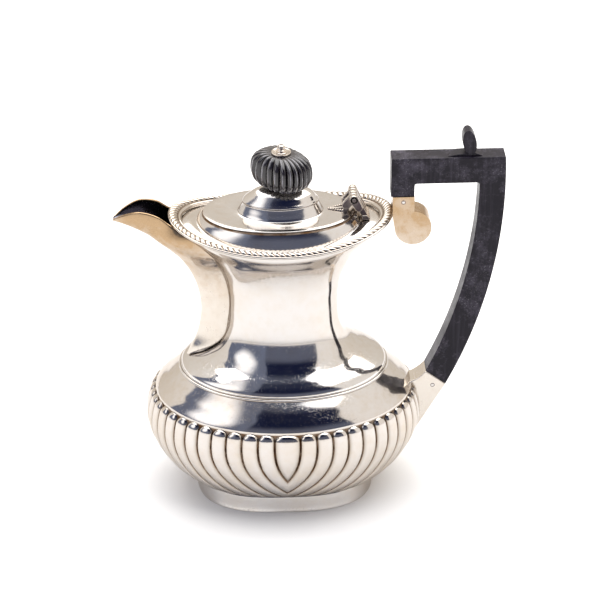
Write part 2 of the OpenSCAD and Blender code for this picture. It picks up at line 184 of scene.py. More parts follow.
def loft(name, grid, wrap=True, caps=(), sharp=40, masks=None):
    """A surface through the rows of grid. caps names the end rows, 0 or -1, that close with a flat face."""
    rows, columns = grid.shape[:2]
    faces = grid_faces(rows, columns, wrap)
    if 0 in caps:
        faces.append(list(range(columns - 1, -1, -1)))
    if -1 in caps:
        faces.append(list(range((rows - 1) * columns, rows * columns)))
    return new_object(name, grid, faces, sharp, masks)


def lathe(name, profile, centre, axis="Z", n=64, sharp=35):
    """A solid of revolution. profile holds [radius, distance along the axis] from one end to the other."""
    profile = np.asarray(profile, float)
    a = np.radians(turn(n))
    r, h = profile[:, :1], profile[:, 1:]
    flat = np.stack([r * np.cos(a), r * np.sin(a), h + 0 * a], -1)
    if axis == "Y":
        flat = flat[..., [0, 2, 1]] * [1, 1, -1]
    closed = profile[0, 0] > 0 and profile[-1, 0] > 0
    if closed:
        return loft(name, flat + centre, wrap=True, sharp=sharp)
    return merge_close(loft(name, flat + centre, wrap=False, sharp=sharp))


def merge_close(obj):
    """Welds the points that meet at a pole."""
    weld = obj.modifiers.new("weld", "WELD")
    weld.merge_threshold = 1e-6
    return apply_modifiers(obj)


def apply_modifiers(obj):
    """Turns obj's modifiers into its mesh."""
    depsgraph = bpy.context.evaluated_depsgraph_get()
    mesh = bpy.data.meshes.new_from_object(obj.evaluated_get(depsgraph))
    obj.modifiers.clear()
    obj.data = mesh
    return obj


def bevel(obj, width, segments=3, angle=35):
    """Rounds obj's edges, sharper than angle, to width in millimetres."""
    m = obj.modifiers.new("bevel", "BEVEL")
    m.width = width * MM
    m.segments = segments
    m.limit_method = "ANGLE"
    m.angle_limit = math.radians(angle)
    m.harden_normals = True
    m.use_clamp_overlap = True
    return apply_modifiers(obj)


def across(name, outline, t, round_edges=0.4, y=0, sharp=30):
    """A plate across Y of thickness t, with the outline's points in XZ, anticlockwise seen from the front."""
    outline = np.asarray(outline, float)
    n = len(outline)
    front = np.insert(outline, 1, y - t / 2, axis=1)
    back = np.insert(outline, 1, y + t / 2, axis=1)
    sides = [[i, n + i, n + (i + 1) % n, (i + 1) % n] for i in range(n)]
    faces = [list(range(n)), list(range(2 * n - 1, n - 1, -1))] + sides
    obj = new_object(name, np.vstack([front, back]), faces, sharp)
    return bevel(obj, round_edges, angle=sharp) if round_edges else obj


def arc(centre, r, start, end, n):
    """Points on an arc in XZ, from one angle in degrees to another."""
    a = np.radians(np.linspace(start, end, n))
    return np.stack([centre[0] + r * np.cos(a), centre[1] + r * np.sin(a)], -1)


def join(name, parts):
    """One object from several, which are removed. All of them sit at the origin."""
    bm = bmesh.new()
    for part in parts:
        bm.from_mesh(part.data)
    mesh = bpy.data.meshes.new(name)
    bm.to_mesh(mesh)
    bm.free()
    for part in parts:
        bpy.data.objects.remove(part)
    obj = bpy.data.objects.new(name, mesh)
    bpy.context.scene.collection.objects.link(obj)
    return obj


# ---------------------------------------------------------------- materials

class Nodes:
    """A material's node tree, with short calls for the nodes used here.

    Positions are object coordinates, in metres.
    """

    def __init__(self, name):
        self.material = bpy.data.materials.new(name)
        self.material.use_nodes = True
        self.tree = self.material.node_tree
        self.shader = self.tree.nodes["Principled BSDF"]
        self.place = self.add("ShaderNodeTexCoord").outputs["Object"]

    def add(self, kind, links=None, **settings):
        node = self.tree.nodes.new(kind)
        for key, value in settings.items():
            setattr(node, key, value)
        for key, value in (links or {}).items():
            self.put(value, node.inputs[key])
        return node

    def put(self, value, socket):
        if isinstance(value, bpy.types.NodeSocket):
            self.tree.links.new(value, socket)
        else:
            socket.default_value = value

    def noise(self, scale, detail=3, rough=0.5, stretch=None):
        place = self.place
        if stretch:
            place = self.add("ShaderNodeMapping", {"Vector": place, "Scale": stretch}).outputs[0]
        return self.add("ShaderNodeTexNoise", {"Vector": place, "Scale": scale, "Detail": detail,
                                               "Roughness": rough}).outputs["Fac"]

    def range(self, value, low, high, to_low=0.0, to_high=1.0):
        return self.add("ShaderNodeMapRange", {"Value": value, "From Min": low, "From Max": high,
                                               "To Min": to_low, "To Max": to_high}).outputs[0]

    def math(self, operation, a, b=0.0):
        return self.add("ShaderNodeMath", {0: a, 1: b}, operation=operation).outputs[0]

    def mix(self, factor, a, b):
        node = self.add("ShaderNodeMix", {"Factor": factor}, data_type="RGBA")
        self.put(a, node.inputs[6])
        self.put(b, node.inputs[7])
        return node.outputs[2]

    def mask(self, name):
        return self.add("ShaderNodeAttribute", attribute_name=name).outputs["Fac"]

    def bump(self, height, strength, distance, normal=None):
        links = {"Height": height, "Strength": strength, "Distance": distance}
        if normal:
            links["Normal"] = normal
        return self.add("ShaderNodeBump", links).outputs[0]

    def set(self, **values):
        for key, value in values.items():
            self.put(value, self.shader.inputs[key.replace("_", " ")])


def rgb(r, g, b):
    return (r, g, b, 1)


def scratches(n, count=3):
    """Fine hairline scratches in several directions, 0 to 1."""
    total = None
    for i in range(count):
        angles = (0.7 * i, 1.1 * i + 0.4, 2.1 * i)
        turned = n.add("ShaderNodeMapping", {"Vector": n.place, "Rotation": angles})
        lines = n.add("ShaderNodeMapping", {"Vector": turned.outputs[0], "Scale": (1.0, 0.03, 0.4)})
        noise = n.add("ShaderNodeTexNoise", {"Vector": lines.outputs[0], "Scale": 2600.0, "Detail": 1.0})
        line = n.range(noise.outputs["Fac"], 0.66, 0.72)
        total = line if total is None else n.math("MAXIMUM", total, line)
    return total


def silver(name, tint=rgb(0.645, 0.62, 0.60), tarnish=rgb(0.54, 0.43, 0.30), amount=0.3, gloss=0.07,
           dark=rgb(0.13, 0.07, 0.035), waves=0.0006, painted_dark_ends=False, high_stain=False,
           scratched=1.0):
    """Old polished silver: slight hammer waves, hairlines, warm tarnish in clouds, dark grooves, painted
    shade that greys the metal beside the grooves, and painted shade in the spout's channel.

    painted_dark_ends paints shade on the faces square to Y and roughens them, and high_stain tarnishes the
    metal more towards the rim.
    """
    n = Nodes(name)
    cloud = n.range(n.noise(28, 4, 0.6), 0.42, 0.72, 0.0, amount)
    fine = n.range(n.noise(260, 3, 0.6), 0.45, 0.75, 0.0, amount * 0.5)
    stain = n.math("ADD", cloud, fine)
    if high_stain:
        height = n.add("ShaderNodeSeparateXYZ", {0: n.place}).outputs["Z"]
        stain = n.math("ADD", n.math("MULTIPLY", stain, n.range(height, 0.09, 0.135, 0.25, 0.85)),
                       n.range(height, 0.124, 0.152, 0.0, 0.75))
    colour = n.mix(stain, tint, tarnish)
    # Painted shade: the spout's inner channel is mixed towards dark navy.
    colour = n.mix(n.range(n.mask("painted_channel_shade"), 0.0, 1.0, 0.0, 0.85), colour, rgb(0.15, 0.17, 0.24))
    rough = n.range(n.noise(60, 4, 0.6), 0.3, 0.8, gloss * 0.7, gloss * 1.8)
    hair = scratches(n)
    rough = n.math("ADD", rough, n.math("MULTIPLY", hair, 0.12 * scratched))
    edge = n.range(n.mask("groove"), 0.4, 0.75)
    patchy = n.range(n.noise(170, 3, 0.6), 0.3, 0.6, 0.55, 1.0)
    # Painted shade: the metal greys towards each groove and dark line, over a wider band than the dark line
    # itself.
    painted_flank_shade = n.range(n.mask("groove"), 0.03, 0.45, 0.0, 0.75)
    colour = n.mix(painted_flank_shade, colour, rgb(0.38, 0.33, 0.27))
    # Painted shade: faces square to Y, such as the hinge's lug faces and knuckle ends, are darkened, and
    # roughened too.
    if painted_dark_ends:
        normal = n.add("ShaderNodeTexCoord").outputs["Normal"]
        facing = n.add("ShaderNodeSeparateXYZ", {0: normal}).outputs["Y"]
        edge = n.math("MAXIMUM", edge, n.range(n.math("ABSOLUTE", facing), 0.9, 0.99))
    # Darkens the grooves with patina; where the groove mask marks the gap round the lid, and on faces square
    # to Y, the same dark is painted shade.
    colour = n.mix(n.math("MULTIPLY", edge, patchy), colour, dark)
    rough = n.math("ADD", rough, n.math("MULTIPLY", edge, 0.3))
    wave = n.bump(n.noise(34, 1, 0.4), 1.0, waves)
    n.set(Base_Color=colour, Metallic=1.0, Roughness=rough, Specular_Tint=rgb(0.8, 0.78, 0.76))
    n.set(Normal=n.bump(hair, 0.25 * scratched, 0.00002, wave))
    return n.material


def ebony(name, colour=rgb(0.009, 0.007, 0.013), worn=rgb(0.10, 0.088, 0.12), gloss=0.36, grain=True,
          shine=0.2, coat=0.0):
    """Black wood: faint long grain, greyish wear in clouds, pale specks of dust and a painted highlight along
    the crests.
    """
    n = Nodes(name)
    cloud = n.range(n.noise(75, 8, 0.8), 0.5, 0.72)
    lines = n.noise(500, 3, 0.6, stretch=(1.0, 1.0, 0.06)) if grain else n.noise(900, 3, 0.6)
    dust = n.range(n.noise(1300, 2, 0.6), 0.60, 0.68)
    dusty = n.range(n.noise(75, 3, 0.6), 0.48, 0.64)
    specks = n.math("MULTIPLY", dust, dusty)
    base = n.mix(n.math("MULTIPLY", cloud, 0.8), colour, worn)
    base = n.mix(n.range(lines, 0.5, 0.8, 0.0, 0.3), base, worn)
    base = n.mix(n.math("MULTIPLY", specks, 0.6), base, rgb(0.20, 0.19, 0.21))
    # Painted highlight: thin light grey lines along the crests, broken by noise.
    painted_crest_highlight = n.math("MULTIPLY", n.mask("crest"), n.range(n.noise(140, 3, 0.6), 0.45, 0.6))
    base = n.mix(painted_crest_highlight, base, rgb(0.42, 0.40, 0.45))
    n.set(Base_Color=base, Roughness=n.range(n.noise(90, 4, 0.6), 0.3, 0.75, gloss * 0.7, gloss * 1.4))
    n.set(Specular_IOR_Level=shine, Normal=n.bump(lines, 0.35, 0.00006))
    n.set(Coat_Weight=coat, Coat_Roughness=0.09, Coat_IOR=1.7)
    return n.material


MATERIALS = {
    "silver": silver("polished_silver"),
    "fluted_silver": silver("fluted_silver", tint=rgb(0.645, 0.61, 0.58), amount=0.4),
    "hazy_silver": silver("hazy_silver", gloss=0.13, scratched=0.1),
    "tarnished_silver": silver("tarnished_silver", tint=rgb(0.66, 0.61, 0.55), tarnish=rgb(0.42, 0.29, 0.17),
                               amount=0.8, gloss=0.14, high_stain=True),
    # The hinge silver paints shade in its dark colour on its faces square to Y.
    "hinge_silver": silver("hinge_silver", tint=rgb(0.62, 0.56, 0.50), tarnish=rgb(0.22, 0.15, 0.10),
                           amount=0.5, gloss=0.2, dark=rgb(0.13, 0.105, 0.115), waves=0.0001, painted_dark_ends=True),
    "ebony": ebony("ebony"),
    "carved_ebony": ebony("carved_ebony", colour=rgb(0.008, 0.006, 0.009), worn=rgb(0.03, 0.024, 0.03),
                          gloss=0.2, grain=False, shine=0.3, coat=0.6),
}


def piece(obj, slot, body, *nodes, look=None):
    """Finishes a piece: puts it under its body, gives it its slot's material and hides the CAD nodes that it
    stands for.

    look names its material where that isn't the slot's own.
    """
    obj.data.materials.clear()
    obj.data.materials.append(MATERIALS[look or slot])
    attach(obj, body)
    if nodes:
        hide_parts(*nodes)
    return obj


# ---------------------------------------------------------------- foot, bowl and girdle

def make_foot():
    section = [[0, 0.1], [0.1, 0], [3, 0], [3.2, 0.4], [3.6, foot_h], [1.5, foot_h], [1.2, 5.4], [0.8, 3],
               [0.35, 1.2], [0.05, 0.3]]
    rings = [[z, foot_a - d, foot_b - d, 2.8, 0, 0] for d, z in section[::-1]]
    collet = loft("foot_collet", ring_points(rings, turn(256)), sharp=60)
    piece(collet, "silver", "pot", "foot")
    plate = [[foot_h, 43.2, 36.3, 2.7, 0, 0], [bowl_z - 0.02, 43.4, 36.5, 2.7, 0, 0]]
    disc = loft("foot_plate", ring_points(plate, turn(128)), wrap=False, caps=(0, -1), sharp=30)
    piece(disc, "silver", "pot", "bottom_plate")


bowl_rings = [
    [bowl_z, belly_a - 24.7, belly_b - 14.9, 2.7, 0, 0],
    [12.5, belly_a - 16.2, belly_b - 9.5, 2.4, 0, 0],
    [20, belly_a - 7.6, belly_b - 4.7, 2.2, 0, 0],
    [31, belly_a - 1.4, belly_b - 0.9, 2.05, 0, 0],
    [42, belly_a, belly_b, 2, 0, 0],
    [54, 65.2, 50.1, 2, 0, 0],
    [61, 58.4, 45, 2, 0, 0],
    [67, 51.6, 38.4, 2.05, 0, 0]]
girdle = bowl_rings[-1]


def sweep(z):
    """How far the lobes have swept towards the middle at the height z, in degrees."""
    return foot_sweep * (np.maximum(0, head_z - z) / (head_z - bowl_z)) ** 2.6


def lobe(q, z):
    """The lobes' profile, 1 on the crest and 0 in the groove, at the angle q and height z."""
    h = np.mod(q, 180)
    f = np.where(h < 90, h, 180 - h)
    s = sweep(z)
    t = f
    for _ in range(4):
        t = f + s * np.cos(np.radians(t))
    t = np.minimum(t, 90)
    lobes = np.mod((t - heart) * quarter_lobes / (90 - heart), 1)
    across_lobe = np.where(t < heart, np.minimum(t / heart, 1), np.abs(2 * lobes - 1))
    head = np.maximum(0, z - head_z) / head_r
    return np.sqrt(np.maximum(0, 1 - across_lobe ** 2.4 - head ** 2)), across_lobe


def make_bowl():
    columns = turn(1536)
    u = np.concatenate([np.linspace(0, 0.6, 64, endpoint=False), np.linspace(0.6, 0.74, 44, endpoint=False),
                        np.linspace(0.74, 1, 24)])
    rings = smooth(bowl_rings, u)
    z = rings[:, :1]
    hump, across_lobe = lobe(columns[None, :], z)
    depth = lobe_depth * (0.45 + 0.55 * np.minimum(1, (z - bowl_z) / 30))
    let_in = 0.5 * np.clip((head_z + head_r + 1 - z) / 2, 0, 1)
    outer = ring_points(rings, columns, depth * hump - let_in * (1 - hump) ** 2)
    below = np.clip((head_z + head_r + 0.4 - z) / 0.8, 0, 1)
    groove = np.maximum(across_lobe ** 5, 0.8 * (1 - hump) ** 3) * below
    inner = ring_points(inset(bowl_rings, np.linspace(1, 0, 24), sheet), columns)
    masks = {"groove": np.vstack([groove, np.zeros(inner.shape[:2])])}
    bowl = loft("fluted_bowl", np.vstack([outer, inner]), sharp=75, masks=masks)
    piece(bowl, "fluted_silver", "pot", "bowl")


def make_girdle():
    """Two rounded wires side by side over the seam between bowl and neck."""
    along, away = np.array([-0.707, 0.707]), np.array([0.707, 0.707])
    t = np.linspace(-1, 1, 41)
    bulge = 0.75 * np.sqrt(np.clip(1 - (2 * np.abs(t) - 0.96) ** 2 * 0.98, 0, 1))
    points = [1.45 * k * along + (0.12 + b) * away for k, b in zip(t, bulge)]
    points += [k * along - 0.25 * away for k in (1.2, -1.2)]
    rings = [np.array(girdle) + [p[1], p[0], p[0], 0, 0, 0] for p in points]
    dark = np.concatenate([np.clip(1.15 - bulge / 0.6, 0, 1), [1, 1]])[:, None]
    masks = {"groove": dark * np.ones(256)}
    wires = loft("girdle_wires", ring_points(rings, turn(256)), sharp=60, masks=masks)
    piece(wires, "silver", "pot", "girdle_wire")


# ---------------------------------------------------------------- neck, spout and rim

neck_rings = [
    girdle,
    [69.8, 50.8, 37.3, 2.05, 0, 0],
    [73, 45.6, 34.4, 2.05, 0, 0],
    [77, 38.2, 30.2, 2.05, 0, 0],
    [82, 31.8, 26.2, 2.1, 0, 0],
    [90, 28.3, 23, 2.1, 0, 0],
    [100, 27.3, 21.7, 2.1, 0, 0],
    [110, 27.6, 21.6, 2.1, 0, 0.1],
    [120, 30, 22.5, 2.1, 0, 0.5],
    [131, 37.5, 26, 2.1, -0.5, 2.5],
    [139, 47.5, 30.4, 2.1, -0.9, 5.3],
    [rim_z - 1.8, rim_a - 3.4, rim_b - 3.1, 2.12, rim_x, lift(rim_a - 3.4)]]


def strainer_drill():
    """Fourteen rods, in two rows, that cut the strainer's holes behind the spout."""
    rods = []
    for row in range(7):
        for side in (-1, 1):
            rod = lathe("rod", [[0, 0], [1.1, 0], [1.1, 26], [0, 26]], [0, 0, 0], n=24)
            place = Matrix.Translation(Vector((-44, side * 2.2, 93 + row * 4.6)) * MM)
            rod.data.transform(place @ Matrix.Rotation(math.pi / 2, 4, "Y"))
            rods.append(rod)
    return join("drill", rods)


def make_neck():
    columns = turn(256)
    outer = ring_points(smooth(neck_rings, np.linspace(0, 1, 120)), columns)
    inner = ring_points(inset(neck_rings, np.linspace(1, 0, 60), sheet), columns)
    neck = loft("neck", np.vstack([outer, inner]), sharp=60)
    drill = strainer_drill()
    cut = neck.modifiers.new("strainer", "BOOLEAN")
    cut.operation = "DIFFERENCE"
    cut.object = drill
    cut.solver = "EXACT"
    apply_modifiers(neck)
    bpy.data.objects.remove(drill)
    piece(neck, "silver", "pot", "neck")


# The spout from its foot on the neck to its lip: [keel X, keel Z, edge X, edge Z, half width]
spout_stations = [
    [-48.6, 72.4, -47.4, 72.6, 1.6],
    [-46.4, 77.5, -39.4, 77, 4.9],
    [-43.2, 85, -30, 84.4, 5.1],
    [-41.2, 95, -27.4, 95, 5.2],
    [-41.4, 105, -26.6, 105, 5.6],
    [-44, 115.5, -28, 116, 6.2],
    [-49.4, 125.5, -31.4, 126, 8.6],
    [-56, 133, -35.6, 134, 12.8],
    [-61.4, 137.6, -44.6, 143.6, 14],
    [-65.4, 140.6, -55.4, 150, 10],
    [-70, 143.4, -62, 154.5, 9.2],
    [-75.2, 146, -70, 156, 7.6],
    [-79.6, 147.8, -77.2, 153.4, 5],
    [-83, 148.8, -82.6, 149.8, 1.8]]


def make_spout():
    """An open channel: the outer face, a rounded lip, the inner face and the other lip, along the spout."""
    thick = 1.3
    s = smooth(spout_stations, np.linspace(0, 1, 150))
    keel, edge, half = s[:, :2], s[:, 2:4], s[:, 4:]
    reach = edge - keel
    length = np.linalg.norm(reach, axis=1, keepdims=True)
    inner_keel = keel + np.minimum(thick / length, 0.6) * reach
    wall = np.minimum(thick, 0.7 * half)

    def side(start, width, angles):
        a = np.radians(angles)[None, :]
        x = start[:, :1] + (edge - start)[:, :1] * (1 - np.cos(a))
        z = start[:, 1:] + (edge - start)[:, 1:] * (1 - np.cos(a))
        return np.stack([x, width * np.sin(a), z], -1)

    angles = np.linspace(-90, 90, 61)
    outer = side(keel, half, angles)
    inside = side(inner_keel, half - wall, angles[::-1])
    a = np.radians(np.linspace(0, 180, 7)[1:-1])
    up = (reach / length)[:, None, :] * (wall / 2)[:, :, None] * np.sin(a)[None, :, None] * 0.8
    lips = [np.stack([edge[:, :1] + up[..., 0], sign * (half - wall / 2) + wall / 2 * np.cos(a),
                      edge[:, 1:] + up[..., 1]], -1) for sign in (1, -1)]
    section = np.concatenate([outer, lips[0], inside, lips[1]], 1)
    seam = np.zeros(section.shape[:2])
    seam[: len(s) // 2, [0, 60]] = 0.8
    # Painted shade: marks the inner face of the spout's channel, which the silver paints dark navy.
    painted_channel_shade = np.zeros(section.shape[:2])
    painted_channel_shade[:, 68:125] = 1
    masks = {"groove": seam, "painted_channel_shade": painted_channel_shade}
    spout = loft("beak_spout", section, wrap=False, caps=(0, -1), sharp=60, masks=masks)
    piece(spout, "tarnished_silver", "pot", "spout")


def make_rim():
    """The gadroon border: a plain outer edge, slanting lobes and a plain inner wire."""
    lobes = 100
    columns = turn(lobes * 16)
    base = [[0.1, -0.5], [0, 0], [0.25, 0.45], [0.7, 0.6], [1.6, 1.15], [3, 1.4], [4.2, 1.1], [4.9, 0.55],
            [5.3, 0.6], [5.7, 0.8], [6.2, 0.6], [6.6, 0], [6.7, -1], [5.5, -1.5], [3.6, -1.8], [1, -1.2]]
    u = np.linspace(0, 1, 61)
    section = smooth(base, u)
    d, h = section[:, 0], section[:, 1]
    top = (u < 12 / 15) & (d > 0.55) & (d < 4.95)
    window = np.where(top, np.sin(np.pi * np.clip((d - 0.55) / 4.4, 0, 1)) ** 0.5, 0)
    slant = (d - 2.6) * 1.1
    phase = np.mod(columns[None, :] * lobes / 360 + slant[:, None] * 0.28, 1)
    hump = np.sqrt(np.maximum(0, 1 - np.abs(2 * phase - 1) ** 2.6)) * window[:, None]
    rise = 0.75 * hump - 0.3 * window[:, None]
    flat = 0 * d
    rings = np.stack([rim_z + h, rim_a - d, rim_b - 0.93 * d, flat + 2.12, flat + rim_x, lift(rim_a - d)], -1)
    even = columns - 6.8 * np.sin(np.radians(2 * columns))
    points = ring_points(rings, even, 0.25 * hump * (d < 2)[:, None])
    points[..., 2] += rise
    groove = np.abs(2 * phase - 1) ** 3 * (window > 0.3)[:, None]
    wire = ((np.abs(d - 5) < 0.3) | (np.abs(d - 0.6) < 0.15)) & (u < 0.8)
    masks = {"groove": np.maximum(groove, 0.65 * wire[:, None])[::-1]}
    rim = loft("gadroon_rim", points[::-1], sharp=75, masks=masks)
    piece(rim, "fluted_silver", "pot", "rim_border")


deck_rings = [
    [rim_z - 1.5, rim_a - 6.8, rim_b - 6.3, 2.12, rim_x, lift(rim_a - 6.8)],
    [rim_z - 1.3, 44, 27.75, 2.12, -1.4, 6.1],
    [rim_z - 1, 40.4, 27.6, 2.1, -1.8, 5.4],
    [rim_z + 1.4, 39.6, 26.8, 2.1, lid_x, 4],
    [148.6, 38.6, 25.3, 2.08, lid_x, 1.8],
    [150.8, 37.5, 24, 2.05, lid_x, 0.4],
    [seat_z, 37, 23.4, 2.05, lid_x, 0]]
mouth_a, mouth_b = 36, 22.4


def make_cover_plate():
    columns = turn(256)
    below = [np.array(s) + ([-1.4, -0.3, -0.9, 0, 0, 0] if i < 3 else [-0.9, -1, -1, 0, 0, 0])
             for i, s in enumerate(deck_rings[:6])]
    mouth = [[z, mouth_a, mouth_b, 2.05, lid_x, 0] for z in (seat_z, seat_z - 1.4)]
    top, under = smooth(deck_rings, np.linspace(0, 1, 90)), smooth(below, np.linspace(1, 0, 40))
    rings = np.vstack([top, mouth, under])
    z, a = rings[:, 0], rings[:, 1]
    # Painted shade: a dark band on the ledge just outside the lid's edge, where the gap between lid and deck
    # lies.
    seam = np.clip((z - seat_z + 0.9) / 0.5, 0, 1) * (z <= seat_z) * (a > mouth_a)
    masks = {"groove": seam[:, None] * np.ones(256)}
    plate = loft("cover_plate", ring_points(rings, columns), sharp=50, masks=masks)
    piece(plate, "silver", "pot", "cover_plate", look="hazy_silver")


# ---------------------------------------------------------------- lid and finial

lid_flat = seat_z + 0.95
dome_x = lid_x + 1
lid_rings = [
    [lid_z, 37, 23.4, 2.05, lid_x, 0],
    [lid_flat, 36.8, 23.2, 2.05, lid_x, 0],
    [lid_flat, 30, 18.2, 2.05, lid_x, 0],
    [lid_flat, 22, 14.6, 2, lid_x + 0.8, 0],
    [153.3, 20.7, 13.6, 2, dome_x, 0],
    [155.2, 19.6, 12.6, 2, dome_x, 0],
    [157.5, 18.5, 11.5, 2, dome_x, 0],
    [158.7, 18.5, 11.6, 2, dome_x, 0],
    [160, 17.4, 10.6, 2, dome_x, 0],
    [161.8, 15.6, 9.2, 2, bolt_x, 0],
    [163.4, 13.2, 7.6, 2, bolt_x, 0],
    [164.5, 10, 5.9, 2, bolt_x, 0],
    [lid_top, 5, 3.2, 2, bolt_x, 0]]


def make_lid():
    columns = turn(256)
    hole = 1.7
    edge = [[lid_z + h, 37 - d, 23.4 - d, 2.05, lid_x, 0]
            for d, h in ((0.3, 0), (0.1, 0.06), (0, 0.2), (0.02, 0.42), (0.14, 0.6), (0.35, 0.69))]
    outer = np.vstack([edge, smooth(lid_rings, np.linspace(0.12, 1, 170))])
    bore = [[z, hole, hole, 2, bolt_x, 0] for z in (lid_top, lid_top - 1.1)]
    crown = [[lid_top - 1.1, 4.6, 3.2, 2, bolt_x, 0]]
    dome = inset(lid_rings, np.linspace(0.9, 0.42, 40), 1.1)
    under = smooth(lid_rings, np.linspace(0.29, 0.1, 8))
    under[:, 0] = lid_z
    under[:, 1:3] -= 0.5
    under[:, 5] = 0
    rings = np.vstack([outer, bore, crown, dome, under])
    # Painted shade: the lid's lowest edge rows and its underside are darkened as the gap between lid and
    # deck; a fainter dark line goes round the dome near 158.2 mm high.
    seam = np.where((np.arange(len(rings)) < 3) | (rings[:, 0] < lid_z + 0.01), 0.9, 0)
    seam[np.argmin(np.abs(outer[:, 0] - 158.2))] = 0.6
    masks = {"groove": seam[:, None] * np.ones(256)}
    lid = loft("domed_lid", ring_points(rings, columns), sharp=50, masks=masks)
    piece(lid, "silver", "lid", "lid", look="hazy_silver")


def make_lid_flange():
    a, b = (flange_high[0] - flange_low[0]) / 2, flange_high[1]
    section = [[0, lid_z - 0.02], [0.05, flange_low[2] + 0.3], [0.3, flange_low[2]], [0.8, flange_low[2]],
               [1, flange_low[2] + 0.3], [1, lid_z - 0.02]]
    rings = [[z, a - d, b - d, 2.05, lid_x, 0] for d, z in section[::-1]]
    flange = loft("lid_flange", ring_points(rings, turn(192)), sharp=50)
    piece(flange, "silver", "lid", "lid_flange")


finial_turn = -48
finial_rings = [
    [finial_low[2], 6.5, 5.2, 2, 0, 0],
    [166.3, 10.8, 8.2, 2.3, 0, 0],
    [168.4, 14.4, 10.2, 2.6, 0, 0],
    [172.8, 16.1, 11.1, 2.8, 0, 0],
    [178.6, 15.5, 10.6, 2.8, 0, 0],
    [181.6, 12.9, 9.2, 2.6, 0, 0],
    [183, 9.2, 7.2, 2.2, 0, 0],
    [finial_high[2], 5, 5, 2, 0, 0]]


def make_finial():
    lobes = 24
    columns = turn(lobes * 16)
    rings = smooth(finial_rings, np.linspace(0, 1, 90))
    phase = np.mod(columns * lobes / 360, 1)
    hump = np.sqrt(np.maximum(0, 1 - np.abs(2 * phase - 1) ** 1.8))
    depth = np.minimum(1.8, rings[:, 1] / 8)[:, None]
    points = ring_points(rings, columns, depth * (hump - 1)[None, :])
    r = math.radians(finial_turn)
    turned = points @ np.array([[math.cos(r), math.sin(r), 0], [-math.sin(r), math.cos(r), 0], [0, 0, 1]])
    hole = 1.35
    bore = ring_points([[z, hole, hole, 2, 0, 0] for z in (finial_high[2], finial_low[2])], columns)
    grid = np.vstack([turned, bore]) + [bolt_x, 0, 0]
    # Painted highlight: a thin line on each lobe's crest, which the ebony paints light grey.
    crest = np.clip(1 - np.abs(2 * phase - 1) / 0.15, 0, 1)
    masks = {"crest": np.vstack([np.ones((90, 1)) * crest, np.zeros((2, len(columns)))])}
    piece(loft("fluted_finial", grid, sharp=80, masks=masks), "carved_ebony", "lid", "finial")


def make_finial_fittings():
    r, z = washer_high[0] - bolt_x, washer_low[2]
    washer = [[1.35, 0], [r - 0.4, 0], [r - 0.05, 0.25], [r, 0.6], [r - 0.15, 0.92], [r - 0.5, 1],
              [r - 0.9, 0.85], [r - 1.2, 0.6], [2.6, 0.55], [2.2, 0.9], [1.35, 0.9]]
    piece(lathe("finial_washer", washer, [bolt_x, 0, z]), "hinge_silver", "lid", "finial_washer")
    top = bolt_high[2] - washer_high[2]
    end = bolt_low[2] - washer_high[2]
    bolt = [[0, end], [1.2, end], [1.2, 0], [2.3, 0], [2.4, 0.3], [2.3, 0.9], [1.9, 1.3], [2, 1.7],
            [1.9, top - 1.1], [1.5, top - 0.4], [0.9, top - 0.05], [0.7, top], [0.5, top - 0.5],
            [0, top - 0.6]]
    piece(lathe("finial_bolt", bolt, [bolt_x, 0, washer_high[2]]), "hinge_silver", "lid", "finial_bolt")
    for node in ("inner_washer", "finial_nut"):
        dress(node, "hinge_silver")


def dress(node, slot):
    """Gives a CAD node that stays its material."""
    obj = frame["nodes"][node]
    obj.data.materials.clear()
    obj.data.materials.append(MATERIALS[slot])


# ---------------------------------------------------------------- hinge

pot_knuckles = [[-5.4, 2.6], [0, 2.6], [5.4, 2.6]]
lid_knuckles = [[-2.7, 2.4], [2.7, 2.4]]


def knuckle(name, y, length):
    """One rounded barrel of the hinge round its pin."""
    r, bore, e = 2.25, 1.05, 0.45
    h = length / 2
    profile = [[bore, -h], [r - e, -h], [r - e * 0.3, -h + e * 0.3], [r, -h + e], [r, h - e],
               [r - e * 0.3, h - e * 0.3], [r - e, h], [bore, h]]
    return lathe(name, profile, [hinge[0], y, hinge[2]], axis="Y", n=48)


def oblong(p, r, q, s):
    """An outline round a circle of radius r at p and one of radius s at q, with straight sides between."""
    p, q = np.array(p), np.array(q)
    way = math.degrees(math.atan2(*(q - p)[::-1]))
    lean = math.degrees(math.asin((r - s) / np.linalg.norm(q - p)))
    return np.vstack([arc(q, s, way - 90 + lean, way + 90 - lean, 12),
                      arc(p, r, way + 90 - lean, way + 270 + lean, 16)])


def leaf():
    """A tapering spray of beads that lies on the lid, with a plain rib in the middle."""
    beads = []
    for i in range(7):
        x, r = 22.4 + 1.15 * i, 0.42 + 0.07 * i
        for side in (-1, 1):
            centre = [x, side * (0.35 + 0.42 * i), lid_flat + 0.25]
            dome = [[r, 0.15 * r], [0.75 * r, 0.65 * r], [0.4 * r, 0.9 * r], [0, r]]
            beads.append(lathe("bead", [[0, -0.3], [r, -0.3]] + dome, centre, n=14, sharp=80))
    outline = [[x, lid_flat + h] for x, h in ((22, -0.2), (31, -0.2), (31, 1), (23, 0.6))]
    beads.append(across("rib", outline, 1, 0.3))
    return join("leaf", beads)


